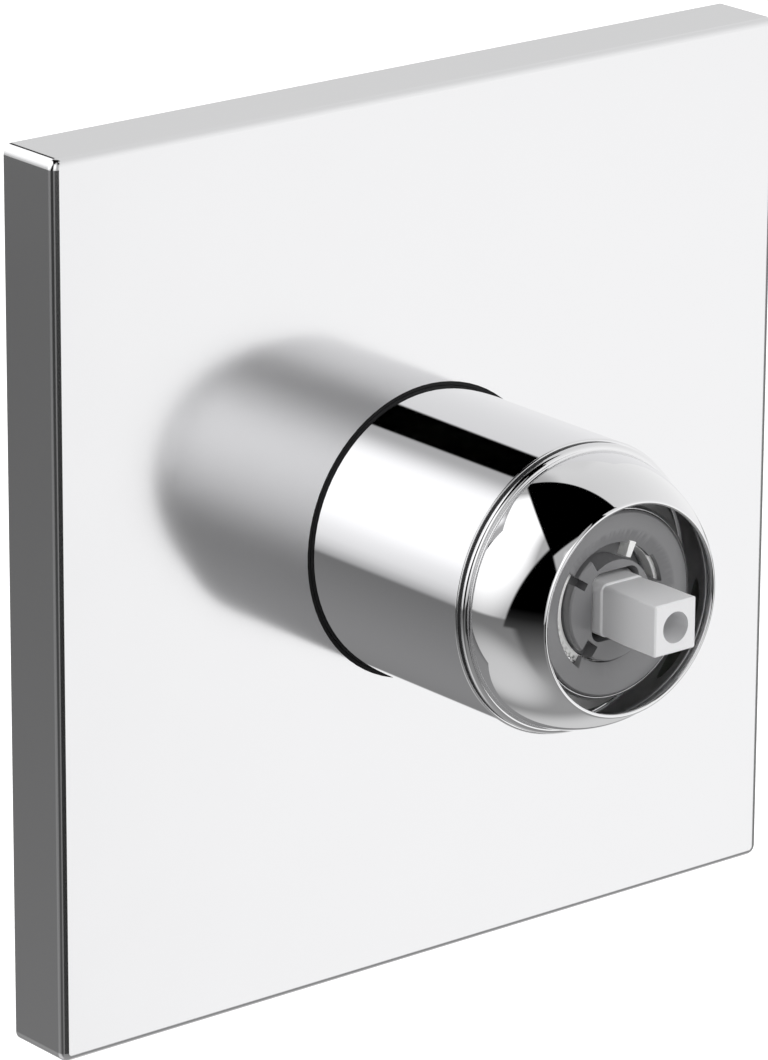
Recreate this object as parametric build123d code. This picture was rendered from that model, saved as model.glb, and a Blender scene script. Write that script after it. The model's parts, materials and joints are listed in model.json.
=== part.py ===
"""Concealed single-lever shower mixer with a square cover plate, a tubular sleeve and a bare spindle.

Every piece is drawn on the bench frame: +Z leaves the wall towards the user, +Y is up and the wall face is Z = 0.
The export turns that frame so that the wall face is Y = 0, the mixer comes out along -Y and +Z is up.
All sizes are in millimetres and all angles in degrees. Heights are distances out of the wall.
"""

from math import asin, atan2, cos, degrees, radians, sin, sqrt, tan
import os

from build123d import *

# Gaps between pieces
contact_gap = 0.05              # pieces that are screwed, clipped or pressed together
running_gap = 0.07              # radial clearance of a shaft that turns in its bore
free_gap = 0.3                  # moving pieces that must not touch
disc_film = 0.03                # grease film between the two ceramic discs
overshoot = 1.0                 # how far a cutting tool runs past the surface that it cuts

# Cartridge shell and the seat that it stands on
seat_height = 27.0
cartridge_radius = 17.5
shell_wall = 2.3
shoulder_rise = 20.0            # from the seat to the shoulder that the clamp nut presses on
head_inset = 1.45               # step of the shoulder
shell_lip = 0.65                # thin wall round the head cover
shell_edge = 0.45
journal_length = 3.8            # bore that guides the rotor
snap_width = 5.0
snap_height = 2.0
snap_reach = 1.4
snap_rise = 1.4                 # from the shell's foot to its snap windows

# Cartridge base, its pegs and the seals round its ports
base_flange = 0.9
base_thickness = 4.0
base_play = 0.1
base_tab_width = 2.8
base_tab_radial = 1.0
base_tab_height = 2.6
peg_radius = 1.9
peg_offset = 12.5
peg_depth = 2.1
seal_width = 1.0
seal_depth = 1.2
base_seal_squeeze = 0.1         # left between base and seat
disc_seal_proud = 0.2           # left between base and fixed disc

# Ceramic discs, their ports and the slider
fixed_disc_play = 0.4
fixed_disc_thickness = 3.5
moving_disc_play = 0.4
moving_disc_thickness = 3.45
port_ring_radius = 7.0          # the ports' centre line
hot_port = (205.0, 40.0)        # start and sweep
cold_port = (295.0, 40.0)
outlet_port = (55.0, 70.0)
inlet_port_width = 3.2
outlet_port_width = 4.0
mix_radius = 7.6                # the hollow under the moving disc
mix_offset = 1.2
mix_depth = 2.2
slider_half_width = 8.9
slider_gap = 0.1                # between the slider and its disc
slider_floor = 1.32             # under the ball's pocket
slider_rim = 1.0                # above the ball's centre
slider_tab_width = 4.0
slider_tab_radial = 1.6
slider_tab_depth = 2.2
pocket_play = 0.4               # under the ball

# Rotor that carries the spindle
rotor_radius = 9.5
rotor_flange = 6.2
rotor_headroom = 0.5            # above the slider
rotor_recess = 0.1              # below the head cover's face
rotor_edge = 0.3
rail_lift = 0.8                 # above the moving disc
slot_corner_play = 0.3          # round the spindle's root in the slot's corners
notches = ((147.0, 1.3), (231.0, 2.6))     # angle and width of each
notch_radial = 2.2
notch_depth = 2.4

# Spindle, its pin and how far both turn
turn_range = 50.0               # each way
tilt_range = 12.5               # each way
pivot_depth = 3.6               # of the pin below the rotor's top
pin_radius = 1.2
pin_inset = 0.3                 # of the pin's ends from the rotor's side
spindle_side = 8.5
spindle_reach = 14.4            # of the tip in front of the rotor
spindle_tip_chamfer = 0.25
spindle_root_step = 0.3         # how much thicker the root is, each side
spindle_root_corner = 1.6
spindle_root_rise = 1.9
spindle_root_fillet = 0.55
spindle_corner = 0.35
spindle_blend = 5.0             # from the rounded root to the square end
spindle_hole_radius = 2.6
spindle_hole_depth = 12.0
arm_top = (7.0, 6.0)
arm_foot = (5.0, 4.6)
ball_radius = 3.0

# Temperature limit ring and the groove that its lug runs in
ring_thickness = 2.0
ring_inner_gap = 0.25
ring_width = 1.4                # from the rotor's side to the root of the teeth
ring_teeth = 54
ring_tooth_height = 0.6
ring_tooth_share = 0.5          # part of each pitch that a tooth fills
ring_tooth_slope = 0.2          # part of each pitch under each flank
stop_angle = 67.0               # where the lug stands
stop_width = 8.0
stop_margin = 1.0               # left between lug and groove end at the limit
stop_groove_depth = 2.2
stop_groove_drop = 0.8          # of the groove's floor below the ring's foot
stop_lug_gap = 0.35
stop_lug_lift = 1.2             # of the lug's foot above the ring's
stop_lug_rise = 1.3             # of the lug above the ring

# Head cover
cover_thickness = 1.9
cover_edge = 0.35
cover_hole_gap = 0.35
dish_width = 2.75
dish_depth = 1.0
left_window = (143.0, 232.0, 0.9)          # start, end and reach outside the ring's root
right_window = (8.0, 38.0, -0.5)

# Neck of the brass body, and the clamp nut in it
cartridge_play = 0.25
clamp_thread_step = 1.3
clamp_thread_length = 3.0       # above the cartridge's shoulder
clamp_thread_run_out = 3.0      # below it
nut_flange_width = 1.0
nut_flange_height = 3.0
nut_slots = 6
nut_slot_width = 3.0
nut_slot_depth = 1.8
neck_thread_wall = 1.7
neck_thread_length = 12.0
neck_step = 1.1
neck_chamfer = 0.6
neck_cone = 2.0
waist_depth = 2.0
waist_low = 4.0
waist_high = 13.0
o_ring_cord = 2.4
o_ring_groove_width = 3.0
o_ring_from_waist = 6.0
o_ring_from_thread = 5.0

# Brass body in the wall
port_height = -20.0             # of the pipe ports' axes
port_reach = 42.0               # from the mixer's axis to each port's mouth
port_thread_radius = 9.315      # root of a G 1/2 inside thread
port_thread_depth = 14.0
port_chamfer = 1.0
port_wall = 3.3
port_hex_across = 27.0
port_hex_length = 14.0
passage_radius = 4.5
inlet_passage_end = 3.0         # how near the axis the inlet passages come
outlet_passage_end = 6.5
core_step = 1.4
core_behind_ports = 16.0
core_before_ports = 12.0
core_chamfer = 1.5
lug_radius = 4.6
lug_length = 14.0
web_thickness = 5.0
web_inset = 2.0
bracket_pitch = 30.0            # between the two screw holes in the body's back
bracket_hole_radius = 2.5       # tapping size of M6
bracket_hole_depth = 8.0

# Sleeve, dome cap and the washer between them
sleeve_play = 1.6               # round the neck
sleeve_wall = 1.2
sleeve_back = 1.2
sleeve_setback = 0.5            # of its front end behind the neck's
sleeve_edge_radius = 0.3
cap_washer_thickness = 0.5
cap_washer_inset = 0.1
cap_bead_inset = 0.4            # of the bead from the sleeve's outside
cap_bead_round = 0.8
cap_bead_edge = 0.25
cap_groove_depth = 0.45
cap_groove_width = 0.25
cap_skirt_length = 7.5
cap_shoulder = 0.6
dome_inset = 0.93               # of the dome's radius from the bead's
dome_drop = 1.3                 # of the dome's centre behind the bead
dome_wall = 0.87
mouth_rise = 3.7                # of the cap's mouth in front of the head cover
mouth_land = 0.58               # width of the bright rim round the mouth

# Cover plate and the seal in its hole
plate_side = 150.0
plate_depth = 12.8
plate_skin = 2.0
plate_rim = 3.5                 # thickness of the rim in front of the gasket
plate_rim_at_wall = 2.0         # thickness of the rim beside the gasket
plate_edge_radius = 1.25
plate_corner_radius = 1.7
plate_hollow_corner = 3.0
collar_wall = 3.7
collar_clearance = 1.1          # between collar and carrier frame
rib_thickness = 1.4
rib_depth = 2.6
rib_count = 8
seal_lip = 0.7                  # width of the black ring that shows round the sleeve
seal_bead_reach = 1.8
seal_bead_rise = 2.4            # above the collar's foot
seal_bead_height = 4.0
seal_recess = 0.1               # of the lip behind the plate's face
gasket_thickness = 3.0
gasket_width = 5.0
gasket_corner = 1.0

# Carrier frame behind the plate, and its screws
carrier_margin = 3.95           # between gasket and frame
carrier_sheet = 1.5
carrier_flange = 4.0
carrier_corner = 6.0
carrier_hole_play = 2.6
wall_slot_inset = 14.0
wall_slot_width = 5.0
wall_slot_length = 12.0
tongue_width = 14.0
tongue_headroom = 3.0
tongue_sheet = 1.0
tongue_inset = 2.5              # from the frame's edge to the tongue's outer face
tongue_window_length = 8.0
tongue_window_width = 16.0
barb_reach = 0.9
barb_height = 1.6
barb_from_top = 0.6
barb_play = 0.3
catch_width = 18.0
catch_thickness = 3.0
catch_lift = 0.5
screw_radius = 2.0              # M4
screw_hole_radius = 2.25
screw_head_radius = 4.0
screw_head_height = 2.4
screw_head_play = 1.14
screw_overrun = 0.5
screw_drive_radius = 1.5
screw_drive_depth = 1.4

# Heights worked out from the seat outwards
shoulder_height = seat_height + shoulder_rise
base_flange_low = seat_height + base_seal_squeeze
shell_foot = base_flange_low + base_flange
base_top = shell_foot + base_thickness
fixed_disc_low = base_top + disc_seal_proud
fixed_disc_top = fixed_disc_low + fixed_disc_thickness
moving_disc_low = fixed_disc_top + disc_film
moving_disc_top = moving_disc_low + moving_disc_thickness
slider_low = moving_disc_top + slider_gap
pocket_floor = slider_low + slider_floor
ball_height = pocket_floor + pocket_play + ball_radius
slider_top = ball_height + slider_rim
rotor_flange_low = slider_top + rotor_headroom
rotor_flange_top = rotor_flange_low + rotor_flange
cavity_top = rotor_flange_top + free_gap
ring_low = cavity_top + journal_length
ring_top = ring_low + ring_thickness
cover_face = ring_top + cover_thickness
shell_top = cover_face - cover_edge
rotor_top = cover_face - rotor_recess
pivot_height = rotor_top - pivot_depth
spindle_tip = rotor_top + spindle_reach
stop_groove_floor = ring_low - stop_groove_drop
neck_end = shoulder_height + clamp_thread_length
neck_thread_foot = neck_end - neck_thread_length
nut_top = neck_end + nut_flange_height
sleeve_front = neck_end - sleeve_setback
bead_foot = sleeve_front + cap_washer_thickness
dome_centre = bead_foot - dome_drop
dome_top = cover_face + mouth_rise
plate_back = plate_depth - plate_skin
collar_foot = carrier_sheet + collar_clearance
tongue_top = plate_back - tongue_headroom
o_ring_heights = (waist_high + o_ring_from_waist, neck_thread_foot - o_ring_from_thread)
core_back = port_height - core_behind_ports
core_front = port_height + core_before_ports

# Radii worked out from the cartridge outwards
cavity_radius = cartridge_radius - shell_wall
head_radius = cartridge_radius - head_inset
rotor_flange_radius = cavity_radius - free_gap
disc_travel = (pivot_height - ball_height) * sin(radians(tilt_range))
moving_disc_radius = cavity_radius - disc_travel - moving_disc_play
fixed_disc_radius = cavity_radius - fixed_disc_play
ring_root_radius = rotor_radius + ring_width
stop_groove_radius = rotor_radius - stop_groove_depth
clamp_bore = cartridge_radius + clamp_thread_step
neck_thread_radius = clamp_bore + neck_thread_wall
neck_radius = neck_thread_radius + neck_step
core_radius = neck_radius + core_step
sleeve_bore = neck_radius + sleeve_play
sleeve_radius = sleeve_bore + sleeve_wall
skirt_radius = sleeve_bore - 2 * contact_gap
o_ring_centre = sleeve_bore - contact_gap - o_ring_cord / 2
cap_bead_radius = sleeve_radius - cap_bead_inset
dome_radius = cap_bead_radius - dome_inset
plate_hole = sleeve_radius + seal_lip
collar_radius = plate_hole + collar_wall
lug_distance = collar_radius + screw_head_radius + screw_head_play

# Sides and places worked out from the plate inwards
gasket_side = plate_side - 2 * plate_rim_at_wall
hollow_side = plate_side - 2 * plate_rim
gasket_inner_side = gasket_side - 2 * (gasket_width + contact_gap)
carrier_side = gasket_inner_side - 2 * carrier_margin
wall_slot_pitch = carrier_side - 2 * wall_slot_inset
tongue_face = carrier_side / 2 - tongue_inset
catch_face = tongue_face + free_gap
barb_high = tongue_top - barb_from_top
barb_low = barb_high - barb_height
lug_pitch = lug_distance * sqrt(2)
spindle_root_side = spindle_side + 2 * spindle_root_step
slot_half_x = spindle_root_side / 2 + free_gap
slot_half_y = spindle_root_side / 2 / cos(radians(tilt_range)) + pivot_depth * tan(radians(tilt_range)) + free_gap
slot_corner = spindle_root_corner + slot_corner_play


def turned(*outline):
    """A piece turned on the mixer's axis from an outline of (radius, height) points."""
    return revolve(Plane.XZ * make_face(Polyline(*outline, close=True)), Axis.Z)


def tube(outer, inner, low, high):
    return turned((inner, low), (outer, low), (outer, high), (inner, high))


def rod(radius, low, high, x=0.0, y=0.0):
    return Pos(x, y, (low + high) / 2) * Cylinder(radius, high - low)


def cross_rod(radius, length):
    """A rod along X through the spindle's pivot."""
    return Pos(0, 0, pivot_height) * Rot(0, 90, 0) * Cylinder(radius, length)


def slab(sketch, low, high):
    return Pos(0, 0, low) * extrude(sketch, high - low)


def block(x_size, y_size, low, high, x=0.0, y=0.0):
    return Pos(x, y, (low + high) / 2) * Box(x_size, y_size, high - low)


def square_slab(side, corner, low, high):
    return slab(RectangleRounded(side, side, corner), low, high)


def polar(radius, angle):
    return radius * cos(radians(angle)), radius * sin(radians(angle))


def sector(inner, outer, start, end, low, high):
    """A piece of a ring between two angles less than half a turn apart."""
    far = 2 * outer / cos(radians(end - start) / 2)
    points = [(0, 0), polar(2 * outer, start), polar(far, (start + end) / 2), polar(2 * outer, end)]
    return slab(make_face(Polyline(*points, close=True)), low, high) & tube(outer, inner, low, high)


def kidney(port, width, low, high):
    """A port bent round the mixer's axis, from its start angle and sweep."""
    return slab(SlotArc(CenterArc((0, 0), port_ring_radius, *port), width), low, high)


def ports(low, high, extra=0.0):
    """The hot, cold and outlet ports, each widened by extra all round."""
    inlets = [kidney(port, inlet_port_width + 2 * extra, low, high) for port in (hot_port, cold_port)]
    return inlets + [kidney(outlet_port, outlet_port_width + 2 * extra, low, high)]


def around(piece, count):
    """Copies of a piece spaced evenly round the mixer's axis."""
    return [Rot(0, 0, i * 360 / count) * piece for i in range(count)]


def corners(pitch):
    return [(x * pitch / 2, y * pitch / 2) for x in (-1, 1) for y in (-1, 1)]


def without(body, cuts):
    for cut in cuts:
        body -= cut
    return body


def cover_plate():
    body = square_slab(plate_side, plate_corner_radius, 0, plate_depth)
    body = fillet(body.faces().sort_by(Axis.Z)[-1].edges(), plate_edge_radius)
    body -= square_slab(gasket_side, gasket_corner, 0, gasket_thickness)
    body -= square_slab(hollow_side, plate_hollow_corner, 0, plate_back)
    hollow = block(hollow_side, hollow_side, 0, plate_back)
    rib = block(hollow_side, rib_thickness, plate_back - rib_depth, plate_back, hollow_side / 2)
    body += [piece & hollow for piece in around(rib, rib_count)]
    catch = block(catch_thickness, catch_width, carrier_flange + catch_lift, plate_back, catch_face + catch_thickness / 2)
    catch -= block(2 * barb_reach, tongue_width + 2 * barb_play, barb_low - barb_play, barb_high + barb_play, catch_face)
    body += around(catch, 4)
    body += rod(collar_radius, collar_foot, plate_back)
    body -= rod(plate_hole, 0, plate_depth)
    seal_low = collar_foot + seal_bead_rise
    return body - tube(plate_hole + seal_bead_reach, plate_hole, seal_low, seal_low + seal_bead_height)


def plate_gasket():
    top = gasket_thickness - contact_gap
    outer = square_slab(gasket_side - 2 * contact_gap, gasket_corner, 0, top)
    return outer - square_slab(gasket_inner_side, gasket_corner, 0, top)


def plate_seal():
    inner = sleeve_radius + contact_gap
    lip = plate_hole - contact_gap
    bead = lip + seal_bead_reach
    low = collar_foot + seal_bead_rise + contact_gap
    high = low + seal_bead_height - 2 * contact_gap
    top = plate_depth - seal_recess
    return turned((inner, low), (bead, low), (bead, high), (lip, high), (lip, top), (inner, top))


def clip_tongue():
    """The spring tongue bent up from the frame's sheet, with the barb that holds the plate."""
    root = tongue_face - tongue_sheet
    barb = Polyline((root, barb_low), (tongue_face + barb_reach, barb_low), (tongue_face, barb_high),
                    (root, barb_high), close=True)
    tongue = block(tongue_sheet, tongue_width, 0, tongue_top, tongue_face - tongue_sheet / 2)
    return tongue + extrude(Plane.XZ * make_face(barb), tongue_width / 2, both=True)


def carrier_frame():
    inner_side = carrier_side - 2 * carrier_sheet
    frame = square_slab(carrier_side, carrier_corner, 0, carrier_flange)
    frame -= square_slab(inner_side, carrier_corner - carrier_sheet, carrier_sheet, carrier_flange)
    frame -= rod(sleeve_radius + carrier_hole_play, 0, carrier_sheet)
    frame = without(frame, [rod(screw_hole_radius, 0, carrier_sheet, x, y) for x, y in corners(lug_pitch)])
    wall_slot = slab(SlotOverall(wall_slot_length, wall_slot_width), 0, carrier_sheet)
    frame = without(frame, [Pos(x, y, 0) * wall_slot for x, y in corners(wall_slot_pitch)])
    window_middle = tongue_face - tongue_sheet - tongue_window_length / 2
    window = block(tongue_window_length, tongue_window_width, 0, carrier_sheet, window_middle)
    return without(frame, around(window, 4)) + around(clip_tongue(), 4)


def carrier_screws():
    foot = carrier_sheet + contact_gap
    top = foot + screw_head_height
    head = rod(screw_head_radius, foot, top)
    head = fillet(head.edges().sort_by(Axis.Z)[-1], screw_head_height / 2)
    drive = slab(RegularPolygon(screw_drive_radius, 6), top - screw_drive_depth, top)
    screw = rod(screw_radius, port_height - screw_overrun, foot) + head - drive
    return [Pos(x, y, 0) * screw for x, y in corners(lug_pitch)]


def sleeve():
    body = tube(sleeve_radius, sleeve_bore, sleeve_back, sleeve_front)
    front_edges = body.edges().filter_by(GeomType.CIRCLE).group_by(Axis.Z)[-1]
    return fillet(front_edges.sort_by(SortBy.RADIUS)[-1], sleeve_edge_radius)


def sleeve_o_rings():
    return [Pos(0, 0, height) * Torus(o_ring_centre, o_ring_cord / 2) for height in o_ring_heights]


def dome_arc(radius, start, end):
    """An arc round the dome's centre between two heights."""
    angles = [degrees(asin((height - dome_centre) / radius)) for height in (start, end)]
    return CenterArc((0, dome_centre), radius, angles[0], angles[1] - angles[0])


def dome_cap():
    skirt_inner = neck_thread_radius + contact_gap
    skirt_foot = neck_end - cap_skirt_length
    shoulder = neck_end + cap_shoulder
    round_centre = (cap_bead_radius - cap_bead_round, bead_foot + cap_bead_edge)
    bead_edge = CenterArc((cap_bead_radius - cap_bead_edge, round_centre[1]), cap_bead_edge, -90, 90)
    bead_round = CenterArc(round_centre, cap_bead_round, 0, 90)
    groove_low = round_centre[1] + cap_bead_round
    groove_high = groove_low + cap_groove_width
    groove_floor = round_centre[0] - cap_groove_depth
    dome = dome_arc(dome_radius, groove_high, dome_top)
    mouth = (dome @ 1).X - mouth_land
    inner_radius = dome_radius - dome_wall
    mouth_foot = dome_centre + sqrt(inner_radius**2 - mouth**2)
    inside = dome_arc(inner_radius, mouth_foot, shoulder)
    outline = [
        Polyline(inside @ 1, (skirt_inner, shoulder), (skirt_inner, skirt_foot), (skirt_radius, skirt_foot),
                 (skirt_radius, bead_foot), bead_edge @ 0),
        bead_edge,
        bead_round,
        Polyline(bead_round @ 1, (groove_floor, groove_low), (groove_floor, groove_high), dome @ 0),
        dome,
        Polyline(dome @ 1, (mouth, dome_top), inside @ 0),
        inside,
    ]
    return revolve(Plane.XZ * make_face(outline), Axis.Z)


def cap_washer():
    return tube(cap_bead_radius - cap_washer_inset, skirt_radius + contact_gap, sleeve_front, bead_foot)


def clamp_nut():
    inner = head_radius + free_gap
    thread = clamp_bore - contact_gap
    low = shoulder_height + contact_gap
    flange_low = neck_end + contact_gap
    flange = clamp_bore + nut_flange_width
    nut = turned((inner, low), (thread, low), (thread, flange_low), (flange, flange_low), (flange, nut_top), (inner, nut_top))
    slot = block(2 * flange, nut_slot_width, nut_top - nut_slot_depth, nut_top, flange)
    return without(nut, around(slot, nut_slots))


def ring_outline(extra=0.0):
    """The limit ring's toothed outline, grown by extra for the pocket that it lies in."""
    pitch = 360 / ring_teeth
    root = ring_root_radius + extra
    tip = root + ring_tooth_height
    swell = degrees(extra / tip)
    flank = pitch * ring_tooth_slope
    points = []
    for i in range(ring_teeth):
        start = i * pitch - swell
        end = (i + ring_tooth_share) * pitch + swell
        points += [polar(root, start), polar(tip, start + flank), polar(tip, end - flank), polar(root, end)]
    return make_face(Polyline(*points, close=True))


def cartridge_housing():
    foot = shell_foot + contact_gap
    lip = head_radius - shell_lip
    journal = rotor_radius + running_gap
    shell = turned(
        (cavity_radius, foot), (cartridge_radius, foot), (cartridge_radius, shoulder_height),
        (head_radius, shoulder_height), (head_radius, shell_top - shell_edge), (head_radius - shell_edge, shell_top),
        (lip, shell_top), (lip, ring_top), (journal, ring_top), (journal, cavity_top), (cavity_radius, cavity_top),
    )
    shell -= slab(ring_outline(contact_gap), ring_low - contact_gap, ring_top)
    low = shell_foot + snap_rise
    return shell - block(snap_width, 2 * cartridge_radius + overshoot, low, low + snap_height)


def head_cover():
    outer = head_radius - shell_lip - 2 * contact_gap
    hole = rotor_radius + cover_hole_gap
    low = ring_top + contact_gap
    cover = turned((hole, low), (outer, low), (outer, cover_face - cover_edge), (outer - cover_edge, cover_face),
                   (hole + dish_width, cover_face), (hole, cover_face - dish_depth))
    for start, end, reach in (left_window, right_window):
        cover -= sector(rotor_radius, ring_root_radius + reach, start, end, low, cover_face)
    return cover


def limit_ring():
    inner = rotor_radius + ring_inner_gap
    ring = slab(ring_outline(), ring_low, ring_top) - rod(inner, ring_low, ring_top)
    start, end = stop_angle - stop_width / 2, stop_angle + stop_width / 2
    lug_inner = stop_groove_radius + stop_lug_gap
    lug_low = ring_low + stop_lug_lift
    foot = sector(lug_inner, inner + ring_inner_gap, start, end, lug_low, ring_top)
    return ring + foot + sector(lug_inner, inner, start, end, lug_low, ring_top + stop_lug_rise)


def rotor():
    body = turned((0, rotor_flange_low), (rotor_flange_radius, rotor_flange_low), (rotor_flange_radius, rotor_flange_top),
                  (rotor_radius, rotor_flange_top), (rotor_radius, rotor_top - rotor_edge),
                  (rotor_radius - rotor_edge, rotor_top), (0, rotor_top))
    rail_foot = moving_disc_top + rail_lift
    rails = rod(rotor_flange_radius, rail_foot, rotor_flange_low)
    body += rails - block(2 * (slider_half_width + free_gap), 2 * cavity_radius, rail_foot, rotor_flange_low)
    body -= slab(RectangleRounded(2 * slot_half_x, 2 * slot_half_y, slot_corner), rotor_flange_low, rotor_top)
    sweep = turn_range + stop_width / 2 + stop_margin
    body -= sector(stop_groove_radius, rotor_radius + overshoot, stop_angle - sweep, stop_angle + sweep,
                   stop_groove_floor, rotor_top)
    for angle, width in notches:
        body -= Rot(0, 0, angle) * block(2 * notch_radial, width, rotor_top - notch_depth, rotor_top, rotor_radius)
    return body - cross_rod(pin_radius + contact_gap / 2, 2 * (rotor_radius + overshoot))


def lever_pin():
    return cross_rod(pin_radius, 2 * (rotor_radius - pin_inset))


def spindle():
    root_top = rotor_top + spindle_root_rise
    root = square_slab(spindle_root_side, spindle_root_corner, pivot_height, root_top)
    root = fillet(root.faces().sort_by(Axis.Z)[-1].edges(), spindle_root_fillet)
    blend = loft([Pos(0, 0, height) * RectangleRounded(spindle_side, spindle_side, corner) for height, corner in
                  ((pivot_height, spindle_root_corner), (root_top + spindle_blend, spindle_corner))])
    shank = square_slab(spindle_side, spindle_corner, root_top + spindle_blend, spindle_tip)
    shank = chamfer(shank.faces().sort_by(Axis.Z)[-1].edges(), spindle_tip_chamfer)
    hub = cross_rod(spindle_root_side / 2, spindle_root_side)
    arm = loft([Pos(0, 0, pivot_height) * Rectangle(*arm_top), Pos(0, 0, ball_height) * Rectangle(*arm_foot)])
    ball = Pos(0, 0, ball_height) * Sphere(ball_radius)
    body = shank + blend + root + hub + arm + ball
    body -= rod(spindle_hole_radius, spindle_tip - spindle_hole_depth, spindle_tip)
    return body - cross_rod(pin_radius + contact_gap, spindle_root_side + overshoot)


def slider_tabs(low, high, play):
    """The two tabs that drive the moving disc, or with play the notches they sit in."""
    tab = block(slider_tab_width + 2 * play, slider_tab_radial + 2 * play, low, high,
                0, moving_disc_radius - slider_tab_radial / 2)
    return around(tab, 2)


def disc_slider():
    outside = rod(moving_disc_radius, slider_low - slider_tab_depth, slider_top)
    body = block(2 * slider_half_width, 2 * moving_disc_radius, slider_low, slider_top)
    body += slider_tabs(slider_low - slider_tab_depth, slider_top, 0)
    pocket = 2 * (ball_radius + free_gap)
    return (body & outside) - block(pocket, pocket, pocket_floor, slider_top)


def moving_disc():
    body = rod(moving_disc_radius, moving_disc_low, moving_disc_top)
    body -= rod(mix_radius, moving_disc_low, moving_disc_low + mix_depth, 0, mix_offset)
    return without(body, slider_tabs(moving_disc_low, moving_disc_top, slider_gap))


def fixed_disc():
    body = rod(fixed_disc_radius, fixed_disc_low, fixed_disc_top)
    notch = block(2 * (base_tab_radial + base_play), base_tab_width + 2 * base_play,
                  fixed_disc_low, fixed_disc_top, fixed_disc_radius)
    return without(body, ports(fixed_disc_low, fixed_disc_top) + around(notch, 2))


def cartridge_base():
    radius = cavity_radius - base_play
    body = turned((0, base_flange_low), (cartridge_radius, base_flange_low), (cartridge_radius, shell_foot),
                  (radius, shell_foot), (radius, base_top), (0, base_top))
    tab = block(base_tab_radial, base_tab_width, base_top, base_top + base_tab_height,
                fixed_disc_radius - base_tab_radial / 2)
    peg = rod(peg_radius, base_flange_low - peg_depth, base_flange_low, peg_offset)
    snap_low = shell_foot + snap_rise + base_play
    snap = block(snap_width - 2 * base_play, 2 * (radius + snap_reach), snap_low, snap_low + snap_height - 2 * base_play)
    body += around(tab, 2) + around(peg, 2) + [snap]
    groove = seal_width + contact_gap
    return without(body, ports(base_flange_low, base_top) + ports(base_top - seal_depth, base_top, groove)
                   + ports(base_flange_low, base_flange_low + seal_depth, groove))


def port_seals(low, high):
    """Three seals, one round each port."""
    return [outer - inner for outer, inner in zip(ports(low, high, seal_width), ports(low, high))]


def neck_and_core():
    """The turned middle of the brass body, with the bore that takes the cartridge."""
    bore = cartridge_radius + cartridge_play
    bore_top = shoulder_height - clamp_thread_run_out
    body = turned(
        (0, core_back), (core_radius - core_chamfer, core_back), (core_radius, core_back + core_chamfer),
        (core_radius, core_front), (neck_radius, core_front + neck_cone), (neck_radius, waist_low - neck_cone),
        (neck_radius - waist_depth, waist_low), (neck_radius - waist_depth, waist_high),
        (neck_radius, waist_high + neck_cone), (neck_radius, neck_thread_foot),
        (neck_thread_radius, neck_thread_foot + neck_chamfer), (neck_thread_radius, neck_end - neck_chamfer),
        (neck_thread_radius - neck_chamfer, neck_end), (clamp_bore, neck_end), (clamp_bore, bore_top),
        (bore, bore_top - neck_chamfer), (bore, seat_height), (0, seat_height),
    )
    floor = o_ring_centre - o_ring_cord / 2 - contact_gap
    half = o_ring_groove_width / 2
    return without(body, [tube(neck_radius + overshoot, floor, h - half, h + half) for h in o_ring_heights])


def port_boss():
    """A pipe port with its wrench hexagon, pointing along +Z from the mixer's axis."""
    boss = rod(port_thread_radius + port_wall, 0, port_reach - port_hex_length)
    hexagon = RegularPolygon(port_hex_across / 2, 6, major_radius=False)
    return boss + slab(hexagon, port_reach - port_hex_length, port_reach)


def port_bore(passage_end):
    """The threaded bore of a port with its chamfered mouth and the passage behind it."""
    thread_foot = port_reach - port_thread_depth
    mouth = port_thread_radius + port_chamfer
    return turned((0, passage_end), (passage_radius, passage_end), (passage_radius, thread_foot),
                  (port_thread_radius, thread_foot), (port_thread_radius, port_reach - port_chamfer),
                  (mouth, port_reach), (0, port_reach))


def valve_body():
    inlet = port_bore(inlet_passage_end)
    bores = ((Rot(0, -90, 0), inlet), (Rot(0, 90, 0), inlet), (Rot(-90, 0, 0), port_bore(outlet_passage_end)))
    body = neck_and_core()
    for turn, bore in bores:
        body += Pos(0, 0, port_height) * turn * port_boss()
    lug_high = port_height + lug_length
    web = block(lug_distance, web_thickness, port_height + web_inset, lug_high - web_inset, lug_distance / 2)
    for x, y in corners(lug_pitch):
        body += Rot(0, 0, degrees(atan2(y, x))) * web
        body += rod(lug_radius, port_height, lug_high, x, y)
    for turn, bore in bores:
        body -= Pos(0, 0, port_height) * turn * bore
    screw_holes = [rod(screw_radius + contact_gap, port_height, lug_high, x, y) for x, y in corners(lug_pitch)]
    bracket_hole = rod(bracket_hole_radius, core_back, core_back + bracket_hole_depth, bracket_pitch / 2)
    peg_hole = rod(peg_radius + base_play, seat_height - peg_depth, seat_height, peg_offset)
    return without(body, ports(port_height, seat_height) + screw_holes + around(bracket_hole, 2) + around(peg_hole, 2))


def write(name, piece):
    """One STEP file for each node; several like pieces in a node stay separate solids."""
    solids = []
    for shape in piece if isinstance(piece, list) else [piece]:
        solids += (Rot(90, 0, 0) * shape).solids()
    node = solids[0] if len(solids) == 1 else Compound(children=solids)
    node.label = name
    export_step(node, f"parts/{name}.step")


nodes = {
    "cover_plate": cover_plate(),
    "plate_gasket": plate_gasket(),
    "plate_seal": plate_seal(),
    "carrier_frame": carrier_frame(),
    "carrier_screws": carrier_screws(),
    "sleeve": sleeve(),
    "sleeve_o_rings": sleeve_o_rings(),
    "dome_cap": dome_cap(),
    "cap_washer": cap_washer(),
    "clamp_nut": clamp_nut(),
    "cartridge_housing": cartridge_housing(),
    "head_cover": head_cover(),
    "limit_ring": limit_ring(),
    "rotor": rotor(),
    "lever_pin": lever_pin(),
    "spindle": spindle(),
    "disc_slider": disc_slider(),
    "moving_disc": moving_disc(),
    "fixed_disc": fixed_disc(),
    "disc_seals": port_seals(base_top - seal_depth, fixed_disc_low),
    "cartridge_base": cartridge_base(),
    "base_seals": port_seals(seat_height, base_flange_low + seal_depth),
    "valve_body": valve_body(),
}

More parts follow.
